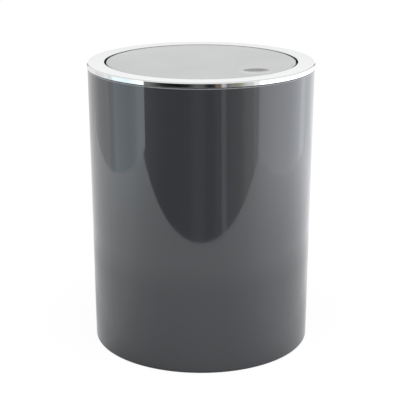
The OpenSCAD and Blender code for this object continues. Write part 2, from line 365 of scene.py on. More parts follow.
def spin_line(
    shape: Shape, places: list[Place], centre: Place, axis: Place, steps: int, closed: bool = False
) -> None:
    """Spins a line of corners once round an axis.

    Args:
        shape: The bmesh that gets the surface.
        places: The corners.
        centre: A place on the axis.
        axis: The axis's direction.
        steps: How many faces go round.
        closed: True if the line runs back to its first corner.
    """
    corners = [shape.verts.new(place) for place in places]
    pairs = list(zip(corners, corners[1:]))
    if closed:
        pairs.append((corners[-1], corners[0]))
    sides = [shape.edges.new(pair) for pair in pairs]
    bmesh.ops.spin(
        shape,
        geom=corners + sides,
        cent=centre,
        axis=axis,
        dvec=(0.0, 0.0, 0.0),
        angle=FULL_TURN,
        steps=steps,
        use_merge=True,
        use_duplicate=False,
    )
    bmesh.ops.remove_doubles(shape, verts=shape.verts, dist=MERGE_DISTANCE)


def turn(
    shape: Shape,
    outline: Outline,
    centre: tuple[float, float] = (0.0, 0.0),
    closed: bool = False,
    steps: int = TURN_STEPS,
) -> None:
    """Turns an outline about an upright axis.

    Args:
        shape: The bmesh that gets the surface.
        outline: Radius and height of each corner.
        centre: Where the axis stands.
        closed: True if the outline is a ring that never meets the axis.
        steps: How many faces go round.
    """
    across, along = centre
    places = [(across + radius, along, height) for radius, height in outline]
    spin_line(shape, places, (across, along, 0.0), AXIS_Z, steps, closed)


def bevel(shape: Shape, edges: list[bmesh.types.BMEdge], rounding: float, segments: int) -> None:
    """Rounds edges of a shape."""
    bmesh.ops.bevel(shape, geom=edges, offset=rounding, segments=segments, profile=0.5, affect="EDGES", material=-1)


def round_rim(shape: Shape, rim: Rim, centre: tuple[float, float] = (0.0, 0.0)) -> None:
    """Rounds one circular corner of a turned shape.

    Args:
        shape: The bmesh.
        rim: The corner's radius and height, and its rounding.
        centre: Where the shape's axis stands.
    """
    across, along = centre

    def on_rim(vertex: bmesh.types.BMVert) -> bool:
        """Tells whether a point lies on the corner's circle."""
        reach = math.hypot(vertex.co.x - across, vertex.co.y - along)
        return abs(reach - rim.radius) < SAME_PLACE and abs(vertex.co.z - rim.height) < SAME_PLACE

    edges = [edge for edge in shape.edges if on_rim(edge.verts[0]) and on_rim(edge.verts[1])]
    bevel(shape, edges, rim.rounding, rim.segments)


def faces_outwards(shape: Shape) -> None:
    """Points every face of a closed shape outwards."""
    bmesh.ops.recalc_face_normals(shape, faces=shape.faces)


def combine(piece: Piece, solid: Piece, action: Action) -> None:
    """Joins a solid to a piece or cuts it away, and deletes the solid.

    Args:
        piece: The piece that changes.
        solid: The solid that is used up.
        action: Whether it is joined or cut away.
    """
    step = piece.modifiers.new("solid", "BOOLEAN")
    step.operation = action.value
    step.solver = "EXACT"
    step.object = solid
    graph = bpy.context.evaluated_depsgraph_get()
    result = bpy.data.meshes.new_from_object(piece.evaluated_get(graph))
    result.name = piece.data.name
    piece.modifiers.clear()
    piece.data = result
    bpy.data.objects.remove(solid)
    smooth_shaded(result)


class Solids:
    """Plain closed solids, gathered in one mesh that is then joined to a piece or cut from it."""

    def __init__(self) -> None:
        """Starts with no solid."""
        self.shape = bmesh.new()

    def slab(self, low: Place, high: Place) -> "Solids":
        """Adds a block between two opposite corners.

        Args:
            low: The corner with the lowest values.
            high: The corner with the highest values.

        Returns:
            The gathering.
        """
        size = [top - bottom for bottom, top in zip(low, high)]
        middle = [(top + bottom) / 2 for bottom, top in zip(low, high)]
        place = Matrix.Translation(middle) @ Matrix.Diagonal((*size, 1.0))
        bmesh.ops.create_cube(self.shape, size=1.0, matrix=place)
        return self

    def bar(self, start: float, end: float, radius: float, height: float) -> "Solids":
        """Adds a round bar along X.

        Args:
            start: Where it starts on X.
            end: Where it ends on X.
            radius: Its radius.
            height: Height of its axis.

        Returns:
            The gathering.
        """
        place = Matrix.Translation(((start + end) / 2, 0, height)) @ Matrix.Rotation(math.pi / 2, 4, "Y")
        self._cylinder(radius, end - start, place)
        return self

    def posts(self, angles: list[float], circle: float, bottom: float, top: float, radius: float) -> "Solids":
        """Adds upright posts on a circle round the bin's axis.

        Args:
            angles: Where they stand on the circle.
            circle: The circle's radius.
            bottom: Height of their lower ends.
            top: Height of their upper ends.
            radius: Their radius.

        Returns:
            The gathering.
        """
        for angle in angles:
            foot = (circle * math.cos(angle), circle * math.sin(angle), (bottom + top) / 2)
            self._cylinder(radius, top - bottom, Matrix.Translation(foot) @ Matrix.Rotation(angle, 4, "Z"))
        return self

    def stepped_bar(self, outline: Outline, height: float) -> "Solids":
        """Adds a turned bar along X.

        Args:
            outline: The place on X and the radius of each of its corners.
            height: Height of its axis.

        Returns:
            The gathering.
        """
        places = [(across, 0.0, height + radius) for across, radius in outline]
        spin_line(self.shape, places, (0.0, 0.0, height), AXIS_X, BAR_STEPS)
        faces_outwards(self.shape)
        return self

    def spokes(
        self, angles: list[float], start: float, end: float, width: float, bottom: float, top: float
    ) -> "Solids":
        """Adds upright plates that run outwards from the bin's axis.

        Args:
            angles: The directions in which they run.
            start: How far from the axis they start.
            end: How far from the axis they end.
            width: Their thickness.
            bottom: Height of their lower edges.
            top: Height of their upper edges.

        Returns:
            The gathering.
        """
        for angle in angles:
            place = (
                Matrix.Rotation(angle, 4, "Z")
                @ Matrix.Translation(((start + end) / 2, 0, (bottom + top) / 2))
                @ Matrix.Diagonal((end - start, width, top - bottom, 1.0))
            )
            bmesh.ops.create_cube(self.shape, size=1.0, matrix=place)
        return self

    def cut_above(self, height: float) -> "Solids":
        """Cuts away all that stands above a height and closes the cut.

        Args:
            height: The height.

        Returns:
            The gathering.
        """
        cut = bmesh.ops.bisect_plane(
            self.shape,
            geom=self._everything(),
            dist=MERGE_DISTANCE,
            plane_co=(0.0, 0.0, height),
            plane_no=AXIS_Z,
            clear_outer=True,
        )
        rims = [item for item in cut["geom_cut"] if isinstance(item, bmesh.types.BMEdge)]
        bmesh.ops.holes_fill(self.shape, edges=rims)
        faces_outwards(self.shape)
        return self

    def both_ends(self) -> "Solids":
        """Mirrors what is there to the other end of the pivot axis.

        Returns:
            The gathering.
        """
        bmesh.ops.mirror(self.shape, geom=self._everything(), axis="X")
        faces_outwards(self.shape)
        return self

    def to_object(self, name: str) -> Piece:
        """Makes the object and ends the gathering."""
        return to_object(self.shape, name)

    def _everything(self) -> list[bmesh.types.BMVert | bmesh.types.BMEdge | bmesh.types.BMFace]:
        """All points, edges and faces."""
        return [*self.shape.verts, *self.shape.edges, *self.shape.faces]

    def _cylinder(self, radius: float, length: float, place: Matrix) -> None:
        """Adds a capped cylinder."""
        bmesh.ops.create_cone(
            self.shape,
            cap_ends=True,
            cap_tris=False,
            segments=BAR_STEPS,
            radius1=radius,
            radius2=radius,
            depth=length,
            matrix=place,
        )


def around(count: int, start: float) -> list[float]:
    """Gives evenly spread angles in radians, from a starting angle in degrees."""
    return [math.radians(start + 360 * i / count) for i in range(count)]


def dress(piece: Piece, *materials: Material) -> None:
    """Gives a piece its materials in place of what it had."""
    piece.data.materials.clear()
    for material in materials:
        piece.data.materials.append(material)


def turned_piece(name: str, outline: Outline, rims: list[Rim], closed: bool = False) -> Piece:
    """Models a piece by turning its outline and rounding some of the corners.

    Args:
        name: The piece's name.
        outline: Radius and height of each corner.
        rims: The corners that get rounded.
        closed: True if the outline is a ring that never meets the axis.

    Returns:
        The piece.
    """
    shape = bmesh.new()
    turn(shape, outline, closed=closed)
    for rim in rims:
        round_rim(shape, rim)
    faces_outwards(shape)
    return to_object(shape, name)


def complete(
    piece: Piece,
    materials: list[Material],
    joined: list[Solids] | None = None,
    cut: list[Solids] | None = None,
) -> Piece:
    """Completes a piece, and keeps its flats flat where they meet its roundings.

    Args:
        piece: The piece as it was turned.
        materials: Its materials.
        joined: The solids that become part of it.
        cut: The solids that are then cut away.

    Returns:
        The piece.
    """
    for action, solids in ((Action.JOIN, joined), (Action.CUT, cut)):
        for solid in solids or []:
            combine(piece, solid.to_object(action.name), action)
    dress(piece, *materials)
    keeper = piece.modifiers.new("flat faces", "WEIGHTED_NORMAL")
    keeper.keep_sharp = True
    keeper.weight = FLAT_WEIGHT
    return piece


# The bin


@dataclass(frozen=True)
class Layout:
    """Sizes that the pieces share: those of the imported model, and the clearances between pieces."""

    ring_radius: float
    ring_top: float
    lip_bottom: float
    ceiling: float
    shoulder_radius: float
    flap_radius: float
    face: float
    pivot: float
    cover_top: float
    pod_bottom: float
    plug_bottom: float
    face_width: float = 14 * MM
    lip: float = 1.5 * MM
    ring_height: float = 3.85 * MM
    seam: float = 0.65 * MM
    base_inset: float = 1.95 * MM
    bucket_wall: float = 2.2 * MM
    flap_depth: float = 9 * MM
    pin_radius: float = 2 * MM
    bush_radius: float = 3.25 * MM
    bush_length: float = 3.6 * MM
    bush_gap: float = 0.2 * MM
    seat_gap: float = 0.05 * MM
    free_gap: float = 0.4 * MM
    hub_radius: float = 2.6 * MM
    arm_thickness: float = 2 * MM
    arm_width: float = 3 * MM
    arm_length: float = 9 * MM
    parting: float = 0.2 * MM
    saddle_width: float = 12 * MM
    screw_circle: float = 83.8 * MM
    ring_screws: int = 6
    ring_screw_start: float = 30.0
    flap_skirt: float = 1.6 * MM
    pin_boss_length: float = 15 * MM
    pin_boss_radius: float = 3.6 * MM
    flap_screw_inset: float = 17 * MM
    flap_screws: int = 4
    overrun: float = 1 * MM

    @classmethod
    def from_frame(cls, joints: list[dict]) -> "Layout":
        """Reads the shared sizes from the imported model.

        Args:
            joints: The frame's joints, one of which is the flap's pivot.

        Returns:
            The layout.
        """
        ring_low, ring_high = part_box("chrome_ring")
        bucket_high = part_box("bucket")[1]
        flap_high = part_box("flap_plate")[1]
        cover_low, cover_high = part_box("flap_back")
        pivot = next(joint for joint in joints if joint["type"] == "hinge")
        return cls(
            ring_radius=ring_high.x,
            ring_top=ring_high.z,
            lip_bottom=ring_low.z,
            ceiling=bucket_high.z,
            shoulder_radius=bucket_high.x,
            flap_radius=flap_high.x,
            face=flap_high.z,
            pivot=pivot["pos_m"][2],
            cover_top=cover_high.z,
            pod_bottom=cover_low.z,
            plug_bottom=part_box("hinge_collar")[0].z,
        )

    @property
    def hole_radius(self) -> float:
        """Radius of the opening."""
        return self.ring_radius - self.face_width

    @property
    def lip_radius(self) -> float:
        """Outer radius of the lip that lines the opening."""
        return self.hole_radius + self.lip

    @property
    def shoulder(self) -> float:
        """Height of the bucket's shoulder."""
        return self.ring_top - self.ring_height - self.seam

    @property
    def rim(self) -> float:
        """Height of the flap's rim."""
        return self.face - self.flap_depth

    @property
    def bush_start(self) -> float:
        """Where the bushes begin on X."""
        return self.lip_radius + self.bush_gap

    @property
    def bush_end(self) -> float:
        """Where the bushes end on X."""
        return self.bush_start + self.bush_length

    @property
    def arm_end(self) -> float:
        """Where the space for the stop arms ends on X."""
        return self.bush_end + self.free_gap + self.arm_thickness + self.free_gap

    @property
    def ring_screw_angles(self) -> list[float]:
        """Where the screws between ring and collar stand round the axis."""
        return around(self.ring_screws, self.ring_screw_start)

    @property
    def flap_screw_angles(self) -> list[float]:
        """Where the screws between the flap's two shells stand round the axis."""
        return around(self.flap_screws, 180 / self.flap_screws)

    @property
    def flap_screw_circle(self) -> float:
        """Radius of the circle on which they stand."""
        return self.flap_radius - self.flap_screw_inset

    def wall_radius(self, height: float) -> float:
        """Outer radius of the bucket's wall at a height."""
        return self.shoulder_radius - self.base_inset * (self.shoulder - height) / self.shoulder

    def inner_radius(self, height: float) -> float:
        """Inner radius of the bucket's wall at a height."""
        return self.wall_radius(height) - self.bucket_wall

    def bearing_spaces(self) -> Solids:
        """Makes the room for pin, bush and stop arm that ring and collar both leave at each end.

        Returns:
            The solids.
        """
        start = self.hole_radius - self.overrun
        pin_way = self.pin_radius + self.free_gap
        seat = self.bush_radius + self.seat_gap
        hub_way = self.hub_radius + self.free_gap
        outline = [
            (start, 0.0),
            (start, pin_way),
            (self.bush_start, pin_way),
            (self.bush_start, seat),
            (self.bush_end, seat),
            (self.bush_end, hub_way),
            (self.arm_end, hub_way),
            (self.arm_end, 0.0),
        ]
        return Solids().stepped_bar(outline, self.pivot).both_ends()


@dataclass
class Bucket:
    """The tapered tub with its foot rim, crowned floor and the spigot that carries the ring."""

    layout: Layout
    floor: float = 2.6 * MM
    crown: float = 1 * MM
    foot_height: float = 2.5 * MM
    foot_width: float = 4 * MM
    foot_rounding: float = 2.5 * MM
    floor_margin: float = 4 * MM
    floor_rounding: float = 3.8 * MM
    shoulder_rounding: float = 0.8 * MM
    spigot_inset: float = 1.7 * MM
    edge_rounding: float = 0.25 * MM
    gate_radius: float = 2.5 * MM
    gate_height: float = 0.8 * MM
    wall_steps: int = 12
    dome_steps: int = 6

    def dome(self, radius: float, level: float) -> Outline:
        """Corners of a crowned floor, from its centre outwards."""
        shares = [i / self.dome_steps for i in range(self.dome_steps + 1)]
        return [(radius * share, level + self.crown * (1 - share * share)) for share in shares]

    def wall(self, bottom: float, top: float, inside: bool) -> Outline:
        """Gives corners up one side of the wall, enough to keep its reflections straight.

        Args:
            bottom: Height of the lowest corner.
            top: Height of the highest corner.
            inside: True for the inner side.

        Returns:
            The corners.
        """
        radius = self.layout.inner_radius if inside else self.layout.wall_radius
        heights = [bottom + (top - bottom) * i / self.wall_steps for i in range(self.wall_steps + 1)]
        return [(radius(height), height) for height in heights]

    def build(self, outside: Material, inside: Material, painted_edge_highlight: Material) -> Piece:
        """Models the bucket.

        Args:
            outside: The finish of the outer wall and the foot.
            inside: The finish of the inner wall and the floor.
            painted_edge_highlight: The finish of the shoulder's edge, painted pale as a painted highlight.

        Returns:
            The piece.
        """
        layout = self.layout
        floor_top = self.foot_height + self.floor
        foot_in = layout.wall_radius(0) - self.foot_width
        spigot = layout.ring_radius - self.spigot_inset
        inner_top = layout.inner_radius(layout.shoulder)
        inner_foot = layout.inner_radius(floor_top)
        under = self.dome(foot_in, self.foot_height)
        gate_top = under[0][1]
        gate_low = gate_top - self.gate_height
        outline = [(0.0, gate_low), (self.gate_radius, gate_low), (self.gate_radius, gate_top), *under[1:]]
        outline += [(foot_in, 0.0), *self.wall(0.0, layout.shoulder, inside=False)]
        outline += [(spigot, layout.shoulder), (spigot, layout.ceiling), (inner_top, layout.ceiling)]
        outline += self.wall(floor_top, layout.shoulder, inside=True)[::-1]
        outline += self.dome(inner_foot - self.floor_margin, floor_top)[::-1]
        rims = [
            Rim(layout.wall_radius(0), 0.0, self.foot_rounding, segments=8),
            Rim(foot_in, 0.0, self.edge_rounding, segments=3),
            Rim(layout.shoulder_radius, layout.shoulder, self.shoulder_rounding, segments=6),
            Rim(spigot, layout.ceiling, self.edge_rounding, segments=3),
            Rim(inner_top, layout.ceiling, self.edge_rounding, segments=3),
            Rim(inner_foot, floor_top, self.floor_rounding, segments=6),
        ]
        piece = complete(turned_piece("bucket_shell", outline, rims), [outside, inside, painted_edge_highlight])
        self.mark_faces(piece)
        return piece

    def mark_faces(self, piece: Piece) -> None:
        """Gives the faces inside the bucket the second material, and the shoulder's edge the third, a painted
        highlight.

        Args:
            piece: The bucket, dressed in its three materials.
        """
        layout = self.layout
        half_floor = self.foot_height + self.floor / 2
        edge_start = layout.shoulder_radius - self.shoulder_rounding
        for face in piece.data.polygons:
            middle = face.center
            reach = math.hypot(middle.x, middle.y)
            limit = layout.wall_radius(middle.z) - layout.bucket_wall / 2
            if middle.z > half_floor + self.crown / 2 and reach < limit:
                face.material_index = 1
            # The shoulder's edge takes the pale third material: a painted highlight, not wear.
            elif reach > edge_start and 0 < layout.shoulder - middle.z < self.shoulder_rounding:
                face.material_index = 2


@dataclass
class Ring:
    """The plated channel: flat top, rounded outer wall, and the lip that lines the opening."""

    layout: Layout
    wall: float = 1.5 * MM
    outer_rounding: float = 1 * MM
    lip_rounding: float = 0.3 * MM
    edge_rounding: float = 0.08 * MM
    boss_radius: float = 3 * MM
    pilot_radius: float = 1.5 * MM
    pilot_depth: float = 5.2 * MM
    stop_rise: float = 1.1 * MM

    def build(self, plating: Material) -> Piece:
        """Models the ring with its bosses, keepers and pin notches.

        Args:
            plating: Its finish.

        Returns:
            The piece.
        """
        layout = self.layout
        low = layout.ring_top - layout.ring_height
        wall_in = layout.ring_radius - self.wall
        outline = [
            (wall_in, low),
            (layout.ring_radius, low),
            (layout.ring_radius, layout.ring_top),
            (layout.hole_radius, layout.ring_top),
            (layout.hole_radius, layout.lip_bottom),
            (layout.lip_radius, layout.lip_bottom),
            (layout.lip_radius, layout.ceiling),
            (wall_in, layout.ceiling),
        ]
        rims = [
            Rim(layout.ring_radius, layout.ring_top, self.outer_rounding, segments=10),
            Rim(layout.hole_radius, layout.ring_top, self.lip_rounding, segments=6),
            Rim(layout.ring_radius, low, self.edge_rounding, segments=4),
            Rim(wall_in, low, self.edge_rounding, segments=3),
            Rim(layout.hole_radius, layout.lip_bottom, self.edge_rounding, segments=3),
        ]
        return complete(
            turned_piece("ring_shell", outline, rims, closed=True),
            [plating],
            joined=[self.keepers(), self.bosses()],
            cut=[layout.bearing_spaces(), self.notches(), self.pilots()],
        )

    def keepers(self) -> Solids:
        """Makes the upper halves of the two bearings, with the blocks that the stop arms meet.

        Returns:
            The solids.
        """
        layout = self.layout
        top = (layout.ceiling + layout.ring_top) / 2
        half = layout.saddle_width / 2
        blocks = Solids()
        blocks.slab((layout.lip_radius - layout.lip / 2, -half, layout.pivot + layout.parting / 2),
                    (layout.bush_end, half, top))
        blocks.slab((layout.bush_end, -half, layout.pivot + self.stop_rise), (layout.arm_end, half, top))
        return blocks.both_ends()

    def bosses(self) -> Solids:
        """Makes the screw bosses under the ring's top.

        Returns:
            The solids.
        """
        layout = self.layout
        top = (layout.ceiling + layout.ring_top) / 2
        return Solids().posts(layout.ring_screw_angles, layout.screw_circle, layout.lip_bottom, top, self.boss_radius)

    def pilots(self) -> Solids:
        """The holes that the screws bite into."""
        layout = self.layout
        return Solids().posts(layout.ring_screw_angles, layout.screw_circle, layout.lip_bottom - layout.overrun,
                              layout.lip_bottom + self.pilot_depth, self.pilot_radius)

    def notches(self) -> Solids:
        """Makes the notches up which the pins slide into the lip.

        Returns:
            The solids.
        """
        layout = self.layout
        half = layout.pin_radius + layout.free_gap - layout.seat_gap
        return Solids().slab(
            (layout.hole_radius - layout.overrun, -half, layout.lip_bottom - layout.overrun),
            (layout.bush_start, half, layout.pivot),
        ).both_ends()


@dataclass
class Collar:
    """The dark ring under the plated one: plug, flange, wall of the throat and bearing saddles."""

    layout: Layout
    flange: float = 1.8 * MM
    plug_wall: float = 1.6 * MM
    plug_gap: float = 0.45 * MM
    rib_gap: float = 0.12 * MM
    throat_depth: float = 10.5 * MM
    throat_wall: float = 1.6 * MM
    saddle_floor: float = 2.4 * MM
    lead_in: float = 0.7 * MM
    lead_height: float = 2 * MM
    rib_radius: float = 0.9 * MM
    ribs: int = 12
    web: float = 1.4 * MM
    web_rise: float = 1.5 * MM
    screw_hole: float = 1.7 * MM
    edge_rounding: float = 0.4 * MM

    def build(self, plastic: Material) -> Piece:
        """Models the collar.

        Args:
            plastic: Its finish.

        Returns:
            The piece.
        """
        layout = self.layout
        under_flange = layout.lip_bottom - self.flange
        throat_bottom = layout.lip_bottom - self.throat_depth
        throat_out = layout.hole_radius + self.throat_wall
        plug_in = layout.inner_radius(layout.plug_bottom) - self.plug_gap - self.plug_wall
        lead_top = layout.plug_bottom + self.lead_height
        outline = [
            (layout.hole_radius, layout.lip_bottom),
            (layout.hole_radius, throat_bottom),
            (throat_out, throat_bottom),
            (throat_out, under_flange),
            (plug_in, under_flange),
            (plug_in, layout.plug_bottom),
            (layout.inner_radius(layout.plug_bottom) - self.plug_gap - self.lead_in, layout.plug_bottom),
            (layout.inner_radius(lead_top) - self.plug_gap, lead_top),
            (layout.inner_radius(layout.lip_bottom) - self.plug_gap, layout.lip_bottom),
        ]
        rims = [
            Rim(layout.hole_radius, throat_bottom, self.edge_rounding, segments=4),
            Rim(throat_out, throat_bottom, self.edge_rounding, segments=4),
            Rim(plug_in, layout.plug_bottom, self.edge_rounding, segments=3),
        ]
        webs = self.webs(throat_out, plug_in, throat_bottom, under_flange)
        return complete(
            turned_piece("collar_shell", outline, rims, closed=True),
            [plastic],
            joined=[*self.saddles(), webs, self.crush_ribs(lead_top, under_flange)],
            cut=[layout.bearing_spaces(), self.openings(under_flange)],
        )

    def saddles(self) -> list[Solids]:
        """Makes the lower halves of the two bearings.

        Returns:
            The seats, then the shelves that reach in to the throat.
        """
        layout = self.layout
        half = layout.saddle_width / 2
        low = layout.pivot - layout.bush_radius - layout.seat_gap - self.saddle_floor
        seats = Solids().slab(
            (layout.bush_start, -half, low),
            (layout.bush_end, half, layout.pivot - layout.parting / 2),
        )
        shelves = Solids().slab(
            (layout.hole_radius + self.throat_wall / 2, -half, low),
            (layout.bush_start + layout.overrun, half, layout.lip_bottom),
        )
        return [seats.both_ends(), shelves.both_ends()]

    def webs(self, start: float, end: float, bottom: float, top: float) -> Solids:
        """The webs between the throat's wall and the plug."""
        sunk = self.plug_wall / 2
        return Solids().spokes(around(self.ribs, 180 / self.ribs), start - sunk, end + sunk, self.web,
                               bottom + self.web_rise, top + self.flange / 2)

    def crush_ribs(self, bottom: float, top: float) -> Solids:
        """The small ribs that centre the plug in the bucket."""
        circle = self.layout.inner_radius(bottom) - self.rib_gap - self.rib_radius
        return Solids().posts(around(self.ribs, 180 / self.ribs), circle, bottom, top, self.rib_radius)

    def openings(self, under_flange: float) -> Solids:
        """Makes the screw holes and the slots through which the stop arms hang.

        Args:
            under_flange: Height of the flange's underside.

        Returns:
            The solids.
        """
        layout = self.layout
        reach = math.hypot(layout.arm_length, layout.arm_width / 2) + layout.free_gap
        bottom = under_flange - layout.overrun
        top = layout.lip_bottom + layout.overrun
        slots = Solids().slab((layout.bush_end, -reach, bottom), (layout.arm_end, reach, top)).both_ends()
        return slots.posts(layout.ring_screw_angles, layout.screw_circle, bottom, top, self.screw_hole)


@dataclass
class FlapPlate:
    """The silver top shell of the flap: flat face, finger dish, skirt, and bosses inside."""

    layout: Layout
    face: float = 1.8 * MM
    edge_rounding: float = 0.8 * MM
    rim_rounding: float = 0.3 * MM
    dish_radius: float = 12 * MM
    dish_depth: float = 2 * MM
    dish_land: float = 2.55 * MM
    dish_rounding: float = 0.7 * MM
    dish_margin: float = 0.9 * MM
    flat_margin: float = 1.1 * MM
    under_margin: float = 0.2 * MM
    boss_end: float = 1.8 * MM
    pin_play: float = 0.05 * MM
    pin_flat: float = 1.4 * MM
    screw_boss: float = 3 * MM
    pilot_radius: float = 1.25 * MM
    pilot_depth: float = 4.8 * MM
    ribs: int = 8
    rib: float = 1.2 * MM
    rib_height: float = 2.6 * MM
    rib_start: float = 12 * MM
    keeper: float = 1.4 * MM
    keeper_place: float = 22.4 * MM
    keeper_half: float = 8.4 * MM
    keeper_gap: float = 0.3 * MM
    dish_steps: int = 96
    cap_rings: int = 14

    @property
    def dish_centre(self) -> tuple[float, float]:
        """Where the dish's axis stands."""
        return (0.0, self.dish_land + self.dish_radius - self.layout.flap_radius)

    def cap(self, ball: float, centre_height: float, rim_radius: float) -> Outline:
        """Corners of a spherical cap, from its rim down to its axis.

        Args:
            ball: The sphere's radius.
            centre_height: The height of its centre.
            rim_radius: The cap's radius at its rim.

        Returns:
            The corners.
        """
        tilt = math.asin(rim_radius / ball)
        angles = [tilt * (1 - i / self.cap_rings) for i in range(self.cap_rings + 1)]
        return [(ball * math.sin(a), centre_height - ball * math.cos(a)) for a in angles]

    def fill_flat(self, shape: Shape, height: float, upwards: bool) -> None:
        """Fills the flat between the open loops at a height.

        Args:
            shape: The bmesh with two open loops at that height.
            height: The flat's height.
            upwards: True if the flat looks up.
        """
        loops = [
            edge
            for edge in shape.edges
            if edge.is_boundary and all(abs(vertex.co.z - height) < SAME_PLACE for vertex in edge.verts)
        ]
        bmesh.ops.triangle_fill(
            shape, use_beauty=True, use_dissolve=False, edges=loops, normal=(0, 0, 1 if upwards else -1)
        )

    def mark_dish(self, piece: Piece) -> None:
        """Gives the faces in the finger dish the second material.

        Args:
            piece: The top shell, dressed in its two materials.
        """
        across, along = self.dish_centre
        for face in piece.data.polygons:
            reach = math.hypot(face.center.x - across, face.center.y - along)
            # The dish takes the second material: lower roughness, and a darker colour that is painted shade.
            face.material_index = int(face.normal.z > 0 and reach < self.dish_radius)

    def build(self, lacquer: Material, rubbed_and_shaded: Material) -> Piece:
        """Models the top shell.

        Args:
            lacquer: Its lacquer.
            rubbed_and_shaded: The same lacquer in the dish, polished smooth by fingers and painted darker, a painted
                shade.

        Returns:
            The piece.
        """
        layout = self.layout
        under = layout.face - self.face
        skirt_in = layout.flap_radius - layout.flap_skirt
        ball = (self.dish_radius**2 + self.dish_depth**2) / (2 * self.dish_depth)
        ball_height = layout.face - self.dish_depth + ball
        cup = ball + self.face
        cup_rim = math.sqrt(cup**2 - (ball_height - under) ** 2)
        shape = bmesh.new()
        turn(
            shape,
            [
                (layout.flap_radius - self.flat_margin, layout.face),
                (layout.flap_radius, layout.face),
                (layout.flap_radius, layout.rim),
                (skirt_in, layout.rim),
                (skirt_in, under),
                (skirt_in - self.under_margin, under),
            ],
        )
        round_rim(shape, Rim(layout.flap_radius, layout.face, self.edge_rounding, segments=8))
        round_rim(shape, Rim(layout.flap_radius, layout.rim, self.rim_rounding, segments=3))
        dish = [(self.dish_radius + self.dish_margin, layout.face)]
        dish += self.cap(ball, ball_height, self.dish_radius)
        turn(shape, dish, self.dish_centre, steps=self.dish_steps)
        round_rim(shape, Rim(self.dish_radius, layout.face, self.dish_rounding, segments=5), self.dish_centre)
        turn(shape, self.cap(cup, ball_height, cup_rim), self.dish_centre, steps=self.dish_steps)
        self.fill_flat(shape, layout.face, upwards=True)
        self.fill_flat(shape, under, upwards=False)
        faces_outwards(shape)
        piece = complete(
            to_object(shape, "flap_top_shell"),
            [lacquer, rubbed_and_shaded],
            joined=[self.face_ribs(under), self.keepers(under), self.bosses(under)],
            cut=[self.bores()],
        )
        self.mark_dish(piece)
        return piece

    def bosses(self, under: float) -> Solids:
        """Makes the bosses for pins and screws under the face.

        Args:
            under: Height of the face's underside.

        Returns:
            The solids.
        """
        layout = self.layout
        pins = Solids()
        pins.bar(layout.flap_radius - layout.pin_boss_length, layout.flap_radius - layout.flap_skirt / 2,
                 layout.pin_boss_radius, layout.pivot)
        return pins.both_ends().posts(layout.flap_screw_angles, layout.flap_screw_circle, layout.cover_top,
                                      under + self.face / 2, self.screw_boss)

    def face_ribs(self, under: float) -> Solids:
        """The ribs that stiffen the face."""
        end = self.layout.flap_radius - self.layout.flap_skirt / 2
        return Solids().spokes(around(self.ribs, 180 / self.ribs), self.rib_start, end, self.rib,
                               under - self.rib_height, under + self.face / 2)

    def keepers(self, under: float) -> Solids:
        """Makes the two ribs that hold the weight down in its pod.

        Args:
            under: Height of the face's underside.

        Returns:
            The solids.
        """
        weight_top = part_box("counterweight")[1].z
        half = self.keeper / 2
        return Solids().slab(
            (self.keeper_place - half, -self.keeper_half, weight_top + self.keeper_gap),
            (self.keeper_place + half, self.keeper_half, under + self.face / 2),
        ).both_ends()

    def bores(self) -> Solids:
        """Makes the pilot holes, and the holes with a flat top in which the pins sit.

        Returns:
            The solids.
        """
        layout = self.layout
        start = layout.flap_radius - layout.pin_boss_length + self.boss_end
        holes = Solids()
        holes.bar(start, layout.flap_radius + layout.overrun, layout.pin_radius + self.pin_play, layout.pivot)
        holes.cut_above(layout.pivot + self.pin_flat + self.pin_play).both_ends()
        return holes.posts(layout.flap_screw_angles, layout.flap_screw_circle, layout.cover_top - layout.overrun,
                           layout.cover_top + self.pilot_depth, self.pilot_radius)


